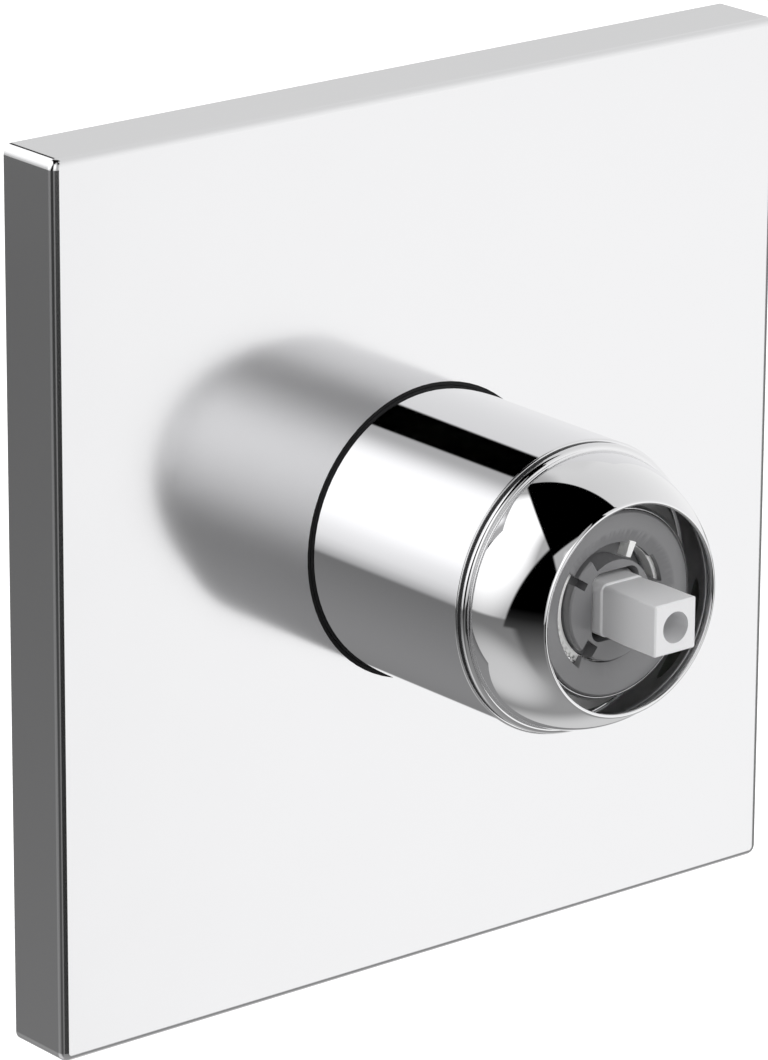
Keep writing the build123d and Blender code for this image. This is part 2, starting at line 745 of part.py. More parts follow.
os.makedirs("parts", exist_ok=True)
for name, piece in nodes.items():
    write(name, piece)
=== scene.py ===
"""Concealed shower mixer: chrome, cartridge head, brass body and studio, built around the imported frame."""

import json
import math

import bmesh
import bpy
from bpy.props import FloatProperty, FloatVectorProperty, IntProperty, PointerProperty
from mathutils import Matrix, Vector


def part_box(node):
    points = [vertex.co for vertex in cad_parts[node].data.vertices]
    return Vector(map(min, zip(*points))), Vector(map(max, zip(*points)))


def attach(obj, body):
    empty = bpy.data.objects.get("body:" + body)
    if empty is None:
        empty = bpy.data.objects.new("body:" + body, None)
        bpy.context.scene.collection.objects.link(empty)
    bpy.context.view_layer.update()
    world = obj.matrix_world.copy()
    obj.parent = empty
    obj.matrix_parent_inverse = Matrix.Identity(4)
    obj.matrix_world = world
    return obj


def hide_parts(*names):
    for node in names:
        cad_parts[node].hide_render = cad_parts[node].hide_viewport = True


bl_info = {
    "name": "Concealed shower mixer",
    "version": (1, 0, 0),
    "blender": (4, 5, 0),
    "location": "View3D > Sidebar > Mixer",
    "description": "Dresses a concealed shower mixer's frame in chrome, plastic, brass and rubber",
    "category": "Object",
}

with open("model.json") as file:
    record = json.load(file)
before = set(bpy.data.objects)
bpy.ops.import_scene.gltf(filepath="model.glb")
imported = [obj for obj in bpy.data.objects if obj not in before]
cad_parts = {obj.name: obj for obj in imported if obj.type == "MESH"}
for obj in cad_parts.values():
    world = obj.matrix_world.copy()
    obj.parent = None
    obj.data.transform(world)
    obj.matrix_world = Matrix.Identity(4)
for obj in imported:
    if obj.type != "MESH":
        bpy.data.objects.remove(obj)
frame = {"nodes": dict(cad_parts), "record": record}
MM = 0.001
DEGREES = 180 / math.pi
BRIGHT = 1.2        # a lit surface, a little brighter than white
PREFIX = "mixer_"


def low(node):
    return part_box(node)[0]


def high(node):
    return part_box(node)[1]


def length(name, description, default, least=0.0, most=1.0):
    return FloatProperty(name=name, description=description, default=default, min=least, max=most,
                         subtype="DISTANCE", unit="LENGTH", precision=5)


def share(name, description, default, most=1.0):
    return FloatProperty(name=name, description=description, default=default, min=0.0, max=most, subtype="FACTOR")


def angle(name, description, degrees):
    return FloatProperty(name=name, description=description, default=math.radians(degrees),
                         subtype="ANGLE", unit="ROTATION")


def colour(name, description, default):
    return FloatVectorProperty(name=name, description=description, default=default, min=0.0, max=1.0,
                               size=3, subtype="COLOR")


def count(name, description, default, least=1):
    return IntProperty(name=name, description=description, default=default, min=least)


class MixerTube(bpy.types.PropertyGroup):
    """Sleeve and domed cap, turned on the mixer's axis."""

    segments: count("Segments", "Facets round the turned pieces", 256, 32)
    sleeve_radius: length("Sleeve radius", "Outside of the sleeve", high("sleeve").x)
    sleeve_wall: length("Sleeve wall", "Wall of the sleeve", 1.2 * MM)
    sleeve_edge: length("Sleeve edge", "Round of the sleeve's front edge", 0.3 * MM)
    bead_radius: length("Bead radius", "Outside of the bead behind the dome", high("dome_cap").x)
    bead_round: length("Bead round", "Round of the bead's front", 0.8 * MM)
    bead_edge: length("Bead edge", "Round of the bead's back", 0.25 * MM)
    groove_depth: length("Groove depth", "Fine line between bead and dome", 0.45 * MM)
    groove_width: length("Groove width", "Fine line between bead and dome", 0.25 * MM)
    dome_radius: length("Dome radius", "Radius of the dome's ball", 23.07 * MM)
    dome_wall: length("Dome wall", "Wall of the dome", 0.87 * MM)
    dome_centre: length("Dome centre", "Distance of the ball's centre from the wall", 48.7 * MM)
    mouth_land: length("Mouth rim", "Width of the flat rim round the mouth", 0.58 * MM)
    mouth_edge: length("Mouth edge", "Round of the rim's edges", 0.12 * MM)
    skirt_radius: length("Skirt radius", "Outside of the cap's screwed skirt", 23.1 * MM)
    skirt_bore: length("Skirt bore", "Inside of the cap's screwed skirt", 20.55 * MM)
    cap_shoulder: length("Cap shoulder", "Distance of the cap's inner shoulder from the wall", 50.6 * MM)


class MixerHead(bpy.types.PropertyGroup):
    """Cartridge head inside the cap."""

    edge: length("Moulded edge", "Round of the moulded edges", 0.12 * MM)
    spindle_edge: length("Spindle edge", "Round of the spindle's edges", 0.22 * MM)
    teeth: count("Teeth", "Teeth round the limit ring", 54, 8)
    ring_bore: length("Ring bore", "Inside of the limit ring", 9.75 * MM)
    ring_root: length("Ring root", "Root of the limit ring's teeth", 10.9 * MM)
    tooth_height: length("Tooth height", "Height of the limit ring's teeth", 0.6 * MM)
    ring_low: length("Ring foot", "Distance of the limit ring's back from the wall", 55.8 * MM)
    ring_high: length("Ring face", "Distance of the limit ring's face from the wall", 57.8 * MM)
    stop_angle: angle("Stop angle", "Where the stop lug stands, from the right", 67.0)
    stop_width: angle("Stop width", "How much of the ring the stop lug takes", 8.0)
    stop_inner: length("Stop reach", "Inner end of the stop lug", 7.65 * MM)
    stop_low: length("Stop foot", "Distance of the stop lug's back from the wall", 57.0 * MM)
    stop_high: length("Stop face", "Distance of the stop lug's face from the wall", 59.1 * MM)


class MixerBody(bpy.types.PropertyGroup):
    """Brass body in the wall, with its ports."""

    port_height: length("Port depth", "Distance of the ports' axes behind the wall face", 20.0 * MM)
    port_reach: length("Port reach", "From the mixer's axis to a port's mouth", 42.0 * MM)
    thread_radius: length("Thread radius", "Root radius of the ports' inside thread", 9.315 * MM)
    thread_depth: length("Thread length", "Threaded length of a port", 12.4 * MM)
    thread_pitch: length("Thread pitch", "Pitch of the pipe thread", 1.814 * MM)
    thread_height: length("Thread height", "Height of the thread's ridge", 0.45 * MM)
    neck_from: length("Neck", "Where the turned neck starts in front of the wall face", 0.5 * MM)
    plated_from: length("Plated neck", "Where the neck's nickel starts in front of the wall face", 30.0 * MM)


class MixerFinish(bpy.types.PropertyGroup):
    """Colours and finishes."""

    chrome: colour("Chrome", "Colour of the polished chrome", (0.93, 0.93, 0.94))
    plate_roughness: share("Plate roughness", "Softness of the reflections in the large plate", 0.13)
    tube_roughness: share("Tube roughness", "Softness of the reflections in the turned chrome", 0.03)
    grey: colour("Grey plastic", "Colour of the cartridge's shell, cover and rotor", (0.20, 0.20, 0.205))
    white: colour("White plastic", "Colour of the limit ring", (0.86, 0.86, 0.85))
    spindle: colour("Spindle", "Colour of the die-cast spindle", (0.76, 0.76, 0.77))
    brass: colour("Brass", "Colour of the cast brass", (0.78, 0.60, 0.31))
    steel: colour("Steel", "Colour of the pressed frame", (0.60, 0.61, 0.62))
    rubber: colour("Rubber", "Colour of the seals", (0.010, 0.010, 0.011))
    foam: colour("Foam", "Colour of the plate's gasket", (0.06, 0.06, 0.065))
    ceramic: colour("Ceramic", "Colour of the discs", (0.86, 0.85, 0.82))
    acetal: colour("Acetal", "Colour of the disc slider", (0.80, 0.79, 0.75))


class MixerStudio(bpy.types.PropertyGroup):
    """Floor, lamps, surroundings and camera."""

    floor_drop: length("Floor drop", "Gap between the plate's lower edge and the floor", 0.06)
    floor_size: length("Floor size", "Side of the floor", 8.0, 1.0, 20.0)
    azimuth: angle("Azimuth", "How far the camera stands to the left of straight in front", 39.129)
    elevation: angle("Elevation", "How far the camera stands above the mixer", 18.457)
    roll: angle("Roll", "Roll of the camera", -0.301)
    distance: length("Distance", "From the camera to the point that it looks at", 1.055306, 0.1, 10.0)
    lens: FloatProperty(name="Lens", description="Focal length for a 36 mm high picture", default=216.563)
    target: FloatVectorProperty(name="Target", description="Point that the camera looks at",
                                default=(0.001195, 0.0, -0.003574), subtype="TRANSLATION", unit="LENGTH")
    key: FloatProperty(name="Key lamp", description="Power of the lamp in front", default=10.0, unit="POWER")


def settings():
    return bpy.context.scene.mixer


# Meshes


def piece(name, mesh, materials, body="fixed", replaced=()):
    """An object that rides on a body and stands for the nodes it replaces."""
    obj = bpy.data.objects.new(PREFIX + name, mesh)
    bpy.context.scene.collection.objects.link(obj)
    mesh.materials.clear()
    for material in materials:
        mesh.materials.append(material)
    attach(obj, body)
    if replaced:
        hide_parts(*replaced)
    return obj


def arc(centre, radius, start, end, steps=8):
    """Points (radius, height) on an arc in the profile plane, angles in degrees."""
    angles = [math.radians(start + (end - start) * i / steps) for i in range(steps + 1)]
    return [(centre[0] + radius * math.cos(a), centre[1] + radius * math.sin(a)) for a in angles]


def lathe_into(bm, profile, segments):
    """A closed profile of (radius, height) points turned on the mixer's axis."""
    rings = []
    for i in range(segments):
        a = 2 * math.pi * i / segments
        rings.append([bm.verts.new((r * math.cos(a), -h, r * math.sin(a))) for r, h in profile])
    n = len(profile)
    for ring, following in zip(rings, rings[1:] + rings[:1]):
        for i in range(n):
            j = (i + 1) % n
            bm.faces.new((ring[i], ring[j], following[j], following[i]))
    return bm


def add_sector(bm, inner, outer, middle, width, start, end, steps=6):
    """A block bent round the mixer's axis between two radii, angles and heights."""
    rows = []
    for i in range(steps + 1):
        a = middle + width * (i / steps - 0.5)
        rows.append([bm.verts.new((r * math.cos(a), -h, r * math.sin(a)))
                     for r, h in ((inner, start), (outer, start), (outer, end), (inner, end))])
    for row, following in zip(rows, rows[1:]):
        for i in range(4):
            j = (i + 1) % 4
            bm.faces.new((row[i], row[j], following[j], following[i]))
    bm.faces.new(rows[0])
    bm.faces.new(rows[-1][::-1])


def finished(bm, name):
    """A mesh with smooth faces that point outwards."""
    bmesh.ops.recalc_face_normals(bm, faces=bm.faces)
    for face in bm.faces:
        face.smooth = True
    mesh = bpy.data.meshes.new(PREFIX + name)
    bm.to_mesh(mesh)
    bm.free()
    return mesh


def lathe(name, profile, segments):
    return finished(lathe_into(bmesh.new(), profile, segments), name)


def even_normals(obj):
    """Flat faces keep flat shading beside their rounded edges."""
    modifier = obj.modifiers.new("Even normals", "WEIGHTED_NORMAL")
    modifier.keep_sharp = True
    modifier.weight = 100
    return obj


def soften(obj, width, steps=3):
    """Rounds the sharp edges of a piece."""
    modifier = obj.modifiers.new("Soft edges", "BEVEL")
    modifier.width = width
    modifier.segments = steps
    modifier.limit_method = "ANGLE"
    modifier.angle_limit = math.radians(35)
    modifier.miter_outer = "MITER_ARC"
    modifier.harden_normals = False
    return even_normals(obj)


def merged_copy(node):
    """A clean copy of a node's mesh: its triangles joined, and flat areas made single faces."""
    bm = bmesh.new()
    bm.from_mesh(frame["nodes"][node].data)
    bmesh.ops.remove_doubles(bm, verts=bm.verts, dist=2e-6)
    bmesh.ops.dissolve_limit(bm, angle_limit=math.radians(0.3), verts=bm.verts, edges=bm.edges, delimit={"NORMAL"})
    for face in bm.faces:
        face.smooth = True
    mesh = bpy.data.meshes.new(PREFIX + node)
    bm.to_mesh(mesh)
    bm.free()
    return mesh


def dressed(node, material, width, steps=3):
    """A node's own shape with rounded edges, in place of the node."""
    body = next(b for b, names in frame["record"]["behaviour"]["bodies"].items() if node in names)
    return soften(piece(node, merged_copy(node), [material], body, (node,)), width, steps)


def paint(node, material):
    """A new material for a node that keeps its own mesh."""
    slots = frame["nodes"][node].data.materials
    slots.clear()
    slots.append(material)


# Nodes


def wire(tree, source, target):
    """Links a node's first output, or a given output, or sets a plain value."""
    if isinstance(source, (bool, int, float, tuple, Vector)):
        target.default_value = source
        return
    tree.links.new(source.outputs[0] if hasattr(source, "outputs") else source, target)


def maths(tree, operation, *values, clamp=False):
    node = tree.nodes.new("ShaderNodeMath")
    node.operation = operation
    node.use_clamp = clamp
    for i, value in enumerate(values):
        wire(tree, value, node.inputs[i])
    return node.outputs[0]


def growth(name, sockets):
    """A Geometry Nodes tree with named inputs, and its input and output nodes."""
    tree = bpy.data.node_groups.new(PREFIX + name, "GeometryNodeTree")
    tree.interface.new_socket(name="Geometry", in_out="INPUT", socket_type="NodeSocketGeometry")
    for label, kind in sockets:
        tree.interface.new_socket(name=label, in_out="INPUT", socket_type="NodeSocket" + kind)
    tree.interface.new_socket(name="Geometry", in_out="OUTPUT", socket_type="NodeSocketGeometry")
    return tree, tree.nodes.new("NodeGroupInput"), tree.nodes.new("NodeGroupOutput")


def added(tree, kind, **inputs):
    """A node with its inputs linked or set by name."""
    node = tree.nodes.new(kind)
    for label, value in inputs.items():
        wire(tree, value, node.inputs[label.replace("_", " ")])
    return node


def ended(tree, geometry, source, outputs):
    """Realizes the instances and gives them the tree's material."""
    real = added(tree, "GeometryNodeRealizeInstances", Geometry=geometry)
    skin = added(tree, "GeometryNodeSetMaterial", Geometry=real, Material=source.outputs["Material"])
    tree.links.new(skin.outputs[0], outputs.inputs[0])


def grown(name, tree, start, values):
    """The plain mesh that a tree makes of a starting mesh."""
    holder = bpy.data.objects.new(PREFIX + name, start)
    bpy.context.scene.collection.objects.link(holder)
    modifier = holder.modifiers.new("Growth", "NODES")
    modifier.node_group = tree
    for item in tree.interface.items_tree:
        if item.in_out == "INPUT" and item.name in values:
            modifier[item.identifier] = values[item.name]
    evaluated = holder.evaluated_get(bpy.context.evaluated_depsgraph_get())
    mesh = bpy.data.meshes.new_from_object(evaluated)
    bpy.data.objects.remove(holder)
    return mesh


def toothed_rim():
    """Teeth spaced evenly round the mixer's axis, joined to the ring that they stand on."""
    tree, source, outputs = growth("Toothed rim", [
        ("Teeth", "Int"), ("Radius", "Float"), ("Tooth height", "Float"), ("Tooth width", "Float"),
        ("Thickness", "Float"), ("Distance", "Float"), ("Turn", "Float"), ("Material", "Material")])
    put = source.outputs
    long = maths(tree, "MULTIPLY", put["Tooth height"], 2.0)
    size = added(tree, "ShaderNodeCombineXYZ", X=long, Y=put["Tooth width"], Z=put["Thickness"])
    cube = added(tree, "GeometryNodeMeshCube", Size=size)
    place = added(tree, "GeometryNodeInputPosition")
    split = added(tree, "ShaderNodeSeparateXYZ", Vector=place)
    outer = maths(tree, "GREATER_THAN", split.outputs["X"], 0.0)
    narrow = maths(tree, "SUBTRACT", 1.0, maths(tree, "MULTIPLY", outer, 0.42))
    tapered = added(tree, "ShaderNodeCombineXYZ", X=split.outputs["X"], Z=split.outputs["Z"],
                    Y=maths(tree, "MULTIPLY", split.outputs["Y"], narrow))
    tooth = added(tree, "GeometryNodeSetPosition", Geometry=cube, Position=tapered)
    points = added(tree, "GeometryNodeMeshCircle", Vertices=put["Teeth"], Radius=put["Radius"])
    step = maths(tree, "DIVIDE", 2 * math.pi, put["Teeth"])
    index = added(tree, "GeometryNodeInputIndex")
    turn = added(tree, "ShaderNodeCombineXYZ", Z=maths(tree, "MULTIPLY", index, step))
    teeth = added(tree, "GeometryNodeInstanceOnPoints", Points=points, Instance=tooth, Rotation=turn)
    offset = maths(tree, "MULTIPLY", step, put["Turn"])
    spin = added(tree, "ShaderNodeCombineXYZ", Z=offset)
    lift = added(tree, "ShaderNodeCombineXYZ", Z=put["Distance"])
    placed = added(tree, "GeometryNodeTransform", Geometry=teeth, Translation=lift, Rotation=spin)
    upright = added(tree, "GeometryNodeTransform", Geometry=placed, Rotation=(math.pi / 2, 0.0, 0.0))
    joined = added(tree, "GeometryNodeJoinGeometry")
    tree.links.new(put["Geometry"], joined.inputs[0])
    tree.links.new(upright.outputs[0], joined.inputs[0])
    ended(tree, joined, source, outputs)
    return tree


def screwed_bores():
    """A helical ridge in each of three bores that meet at the mixer's axis: left, right and up."""
    tree, source, outputs = growth("Screwed bores", [
        ("Radius", "Float"), ("Pitch", "Float"), ("Length", "Float"), ("Start", "Float"), ("Behind wall", "Float"),
        ("Ridge", "Float"), ("Material", "Material")])
    put = source.outputs
    turns = maths(tree, "DIVIDE", put["Length"], put["Pitch"])
    spiral = added(tree, "GeometryNodeCurveSpiral", Resolution=96, Rotations=turns, Height=put["Length"])
    tree.links.new(put["Radius"], spiral.inputs["Start Radius"])
    tree.links.new(put["Radius"], spiral.inputs["End Radius"])
    section = added(tree, "GeometryNodeCurvePrimitiveCircle", Resolution=4, Radius=put["Ridge"])
    ridge = added(tree, "GeometryNodeCurveToMesh", Curve=spiral, Fill_Caps=True)
    tree.links.new(section.outputs[0], ridge.inputs["Profile Curve"])
    joined = added(tree, "GeometryNodeJoinGeometry")
    for direction, turn in (((1, 0, 0), (0.0, math.pi / 2, 0.0)), ((-1, 0, 0), (0.0, -math.pi / 2, 0.0)),
                            ((0, 0, 1), (0.0, 0.0, 0.0))):
        along = added(tree, "ShaderNodeVectorMath")
        along.operation = "SCALE"
        along.inputs[0].default_value = direction
        tree.links.new(put["Start"], along.inputs["Scale"])
        back = added(tree, "ShaderNodeCombineXYZ", Y=put["Behind wall"])
        spot = added(tree, "ShaderNodeVectorMath")
        tree.links.new(along.outputs[0], spot.inputs[0])
        tree.links.new(back.outputs[0], spot.inputs[1])
        placed = added(tree, "GeometryNodeTransform", Geometry=ridge, Translation=spot, Rotation=turn)
        tree.links.new(placed.outputs[0], joined.inputs[0])
    ended(tree, joined, source, outputs)
    return tree


# Shader groups


def node_group(name, inputs, outputs):
    """An empty shader group with float or vector sockets, and its input and output nodes."""
    tree = bpy.data.node_groups.new(PREFIX + name, "ShaderNodeTree")
    for label, default in inputs:
        kind = "NodeSocketFloat" if isinstance(default, (int, float)) else "NodeSocketVector"
        socket = tree.interface.new_socket(name=label, in_out="INPUT", socket_type=kind)
        socket.default_value = default
    for label in outputs:
        tree.interface.new_socket(name=label, in_out="OUTPUT", socket_type="NodeSocketFloat")
    return tree, tree.nodes.new("NodeGroupInput"), tree.nodes.new("NodeGroupOutput")


def vector_maths(tree, operation, *values, output="Vector"):
    node = tree.nodes.new("ShaderNodeVectorMath")
    node.operation = operation
    for i, value in enumerate(values):
        wire(tree, value, node.inputs[i])
    return node.outputs[output]


def smooth_step(tree, value, start, end, first=0.0, last=1.0):
    node = tree.nodes.new("ShaderNodeMapRange")
    node.interpolation_type = "SMOOTHSTEP"
    for label, v in (("Value", value), ("From Min", start), ("From Max", end), ("To Min", first), ("To Max", last)):
        wire(tree, v, node.inputs[label])
    return node.outputs[0]


def blend_to(tree, value, target, mask):
    """value, moved to target where mask is 1."""
    node = tree.nodes.new("ShaderNodeMix")
    wire(tree, mask, node.inputs["Factor"])
    wire(tree, value, node.inputs[2])
    wire(tree, target, node.inputs[3])
    return node.outputs[0]


def noise(tree, vector, scale, detail=2.0, roughness=0.5):
    node = tree.nodes.new("ShaderNodeTexNoise")
    wire(tree, vector, node.inputs["Vector"])
    wire(tree, scale, node.inputs["Scale"])
    node.inputs["Detail"].default_value = detail
    node.inputs["Roughness"].default_value = roughness
    return node.outputs["Fac"]


def polish_group():
    """Faint haze and waviness of a polished surface."""
    tree, inputs, outputs = node_group(
        "Polish",
        [("Vector", (0.0, 0.0, 0.0)), ("Roughness", 0.1), ("Haze", 0.02), ("Haze scale", 60.0), ("Wave scale", 90.0)],
        ["Roughness", "Height"],
    )
    haze = noise(tree, inputs.outputs["Vector"], inputs.outputs["Haze scale"], 4.0, 0.6)
    centred = maths(tree, "SUBTRACT", haze, 0.5)
    change = maths(tree, "MULTIPLY", centred, inputs.outputs["Haze"])
    rough = maths(tree, "ADD", inputs.outputs["Roughness"], change, clamp=True)
    wave = noise(tree, inputs.outputs["Vector"], inputs.outputs["Wave scale"], 1.0, 0.4)
    tree.links.new(rough, outputs.inputs["Roughness"])
    tree.links.new(wave, outputs.inputs["Height"])
    return tree


def grain_group():
    """Cast, moulded or foamed grain: two sizes of noise, for height and for tone."""
    tree, inputs, outputs = node_group(
        "Grain",
        [("Vector", (0.0, 0.0, 0.0)), ("Coarse", 400.0), ("Fine", 2500.0), ("Fine share", 0.4)],
        ["Height", "Tone"],
    )
    coarse = noise(tree, inputs.outputs["Vector"], inputs.outputs["Coarse"], 2.0, 0.5)
    fine = noise(tree, inputs.outputs["Vector"], inputs.outputs["Fine"], 2.0, 0.6)
    mixed = maths(tree, "ADD", coarse, maths(tree, "MULTIPLY", fine, inputs.outputs["Fine share"]))
    tone = noise(tree, inputs.outputs["Vector"], maths(tree, "MULTIPLY", inputs.outputs["Coarse"], 0.12), 3.0, 0.6)
    tree.links.new(mixed, outputs.inputs["Height"])
    tree.links.new(tone, outputs.inputs["Tone"])
    return tree


GROUPS = {"Polish": polish_group, "Grain": grain_group}


def group_in(tree, name, **values):
    """A shared group in a material, built at its first use."""
    shared = bpy.data.node_groups.get(PREFIX + name) or GROUPS[name]()
    node = tree.nodes.new("ShaderNodeGroup")
    node.node_tree = shared
    for label, value in values.items():
        wire(tree, value, node.inputs[label.replace("_", " ")])
    return node


# Materials


def material(name):
    """A new material with its tree, shader and Object coordinates."""
    mat = bpy.data.materials.new(PREFIX + name)
    mat.use_nodes = True
    tree = mat.node_tree
    shader = tree.nodes["Principled BSDF"]
    place = tree.nodes.new("ShaderNodeTexCoord").outputs["Object"]
    return mat, tree, shader, place


def set_bump(tree, shader, height, distance, strength=1.0):
    bump = tree.nodes.new("ShaderNodeBump")
    bump.inputs["Distance"].default_value = distance
    bump.inputs["Strength"].default_value = strength
    tree.links.new(height, bump.inputs["Height"])
    tree.links.new(bump.outputs["Normal"], shader.inputs["Normal"])


def tinted(tree, shader, factor, dark, light):
    mix = tree.nodes.new("ShaderNodeMix")
    mix.data_type = "RGBA"
    tree.links.new(factor, mix.inputs["Factor"])
    mix.inputs["A"].default_value = (*dark, 1.0)
    mix.inputs["B"].default_value = (*light, 1.0)
    tree.links.new(mix.outputs["Result"], shader.inputs["Base Color"])


def shade(base, by):
    return tuple(min(1.0, c * by) for c in base)


def mirrored(tree, roughness, seen_in_others):
    """Another roughness where the surface is seen in other bright pieces."""
    path = tree.nodes.new("ShaderNodeLightPath")
    return blend_to(tree, seen_in_others, roughness, path.outputs["Is Camera Ray"])


def polished(name, base, roughness, haze, wave_height, seen_in_others=None):
    """Chrome or bright metal."""
    mat, tree, shader, place = material(name)
    shader.inputs["Base Color"].default_value = (*base, 1.0)
    shader.inputs["Metallic"].default_value = 1.0
    group = group_in(tree, "Polish", Vector=place, Roughness=roughness, Haze=haze)
    rough = group.outputs["Roughness"]
    if seen_in_others is not None:
        rough = mirrored(tree, rough, seen_in_others)
    tree.links.new(rough, shader.inputs["Roughness"])
    if wave_height:
        set_bump(tree, shader, group.outputs["Height"], wave_height)
    return mat


def grained(name, base, roughness, coarse, fine, height, metallic=0.0, contrast=0.08, specular=0.5):
    """Cast metal, moulded plastic, rubber, foam or ceramic."""
    mat, tree, shader, place = material(name)
    shader.inputs["Metallic"].default_value = metallic
    shader.inputs["Roughness"].default_value = roughness
    shader.inputs["Specular IOR Level"].default_value = specular
    group = group_in(tree, "Grain", Vector=place, Coarse=coarse, Fine=fine)
    tinted(tree, shader, group.outputs["Tone"], shade(base, 1 - contrast), shade(base, 1 + contrast))
    set_bump(tree, shader, group.outputs["Height"], height)
    return mat


def brushed(name, base, roughness, stretch):
    """Rolled or ground steel: grain drawn out along one direction."""
    mat, tree, shader, place = material(name)
    shader.inputs["Metallic"].default_value = 1.0
    mapping = tree.nodes.new("ShaderNodeMapping")
    mapping.inputs["Scale"].default_value = stretch
    tree.links.new(place, mapping.inputs["Vector"])
    group = group_in(tree, "Grain", Vector=mapping.outputs["Vector"], Coarse=600.0, Fine=3000.0)
    tinted(tree, shader, group.outputs["Tone"], shade(base, 0.88), shade(base, 1.08))
    rough = smooth_step(tree, group.outputs["Height"], 0.2, 1.1, roughness - 0.06, roughness + 0.06)
    tree.links.new(rough, shader.inputs["Roughness"])
    set_bump(tree, shader, group.outputs["Height"], 2e-6)
    return mat


def split_place(tree, place):
    split = tree.nodes.new("ShaderNodeSeparateXYZ")
    tree.links.new(place, split.inputs[0])
    return split.outputs


def machined_mask(tree, place, body):
    """1 on the brass body's neck, in its threaded ports and on their ends."""
    x, y, z = split_place(tree, place)
    behind = maths(tree, "SUBTRACT", y, body.port_height)
    square = maths(tree, "MULTIPLY", behind, behind)
    reach = maths(tree, "ABSOLUTE", x)
    across = maths(tree, "SQRT", maths(tree, "ADD", square, maths(tree, "MULTIPLY", z, z)))
    upward = maths(tree, "SQRT", maths(tree, "ADD", square, maths(tree, "MULTIPLY", x, x)))
    bore = body.thread_radius * 1.15
    deep = body.port_reach * 0.4
    side_bore = maths(tree, "MULTIPLY", maths(tree, "LESS_THAN", across, bore), maths(tree, "GREATER_THAN", reach, deep))
    top_bore = maths(tree, "MULTIPLY", maths(tree, "LESS_THAN", upward, bore), maths(tree, "GREATER_THAN", z, deep))
    ends = maths(tree, "GREATER_THAN", maths(tree, "MAXIMUM", reach, z), body.port_reach - 0.05 * MM)
    neck = maths(tree, "LESS_THAN", y, -body.neck_from)
    return maths(tree, "MAXIMUM", maths(tree, "MAXIMUM", side_bore, top_bore), maths(tree, "MAXIMUM", ends, neck))


def cast_brass(finish):
    """Blasted casting outside, bright turned metal on the neck and in the ports."""
    mat, tree, shader, place = material("cast_brass")
    y = split_place(tree, place)[1]
    shader.inputs["Metallic"].default_value = 1.0
    machined = machined_mask(tree, place, settings().body)
    group = group_in(tree, "Grain", Vector=place, Coarse=700.0, Fine=2600.0)
    tone = maths(tree, "ADD", group.outputs["Tone"], maths(tree, "MULTIPLY", machined, 0.5), clamp=True)
    tinted(tree, shader, tone, shade(finish.brass, 0.80), shade(finish.brass, 1.08))
    plated = smooth_step(tree, y, -settings().body.plated_from, -settings().body.plated_from - 0.5 * MM)
    mix = tree.nodes.new("ShaderNodeMix")
    mix.data_type = "RGBA"
    tree.links.new(plated, mix.inputs["Factor"])
    tree.links.new(shader.inputs["Base Color"].links[0].from_socket, mix.inputs["A"])
    mix.inputs["B"].default_value = (0.62, 0.62, 0.60, 1.0)
    tree.links.new(mix.outputs["Result"], shader.inputs["Base Color"])
    rough = smooth_step(tree, group.outputs["Tone"], 0.3, 0.7, 0.38, 0.48)
    tree.links.new(blend_to(tree, rough, 0.2, machined), shader.inputs["Roughness"])
    blasted = maths(tree, "SUBTRACT", 1.0, maths(tree, "MULTIPLY", machined, 0.97))
    set_bump(tree, shader, maths(tree, "MULTIPLY", group.outputs["Height"], blasted), 6e-5)
    return mat


def plate_chrome(finish):
    """Polished chrome outside, duller in the plate's hollow."""
    mat, tree, shader, place = material("plate_chrome")
    shader.inputs["Metallic"].default_value = 1.0
    x, y, z = split_place(tree, place)
    half = (high("cover_plate").x - low("cover_plate").x) / 2 - 3.4 * MM
    within = maths(tree, "LESS_THAN", maths(tree, "MAXIMUM", maths(tree, "ABSOLUTE", x), maths(tree, "ABSOLUTE", z)), half)
    hollow = maths(tree, "MULTIPLY", within, maths(tree, "GREATER_THAN", y, low("cover_plate").y + 1.9 * MM))
    polish = group_in(tree, "Polish", Vector=place, Roughness=finish.plate_roughness, Haze=0.02)
    grain = group_in(tree, "Grain", Vector=place, Coarse=500.0, Fine=2500.0)
    tinted(tree, shader, hollow, finish.chrome, shade(finish.chrome, 0.72))
    outer_rough = mirrored(tree, polish.outputs["Roughness"], 0.02)
    tree.links.new(blend_to(tree, outer_rough, 0.38, hollow), shader.inputs["Roughness"])
    outside = maths(tree, "MULTIPLY", polish.outputs["Height"], 0.01)
    set_bump(tree, shader, blend_to(tree, outside, grain.outputs["Height"], hollow), 4e-5)
    return mat


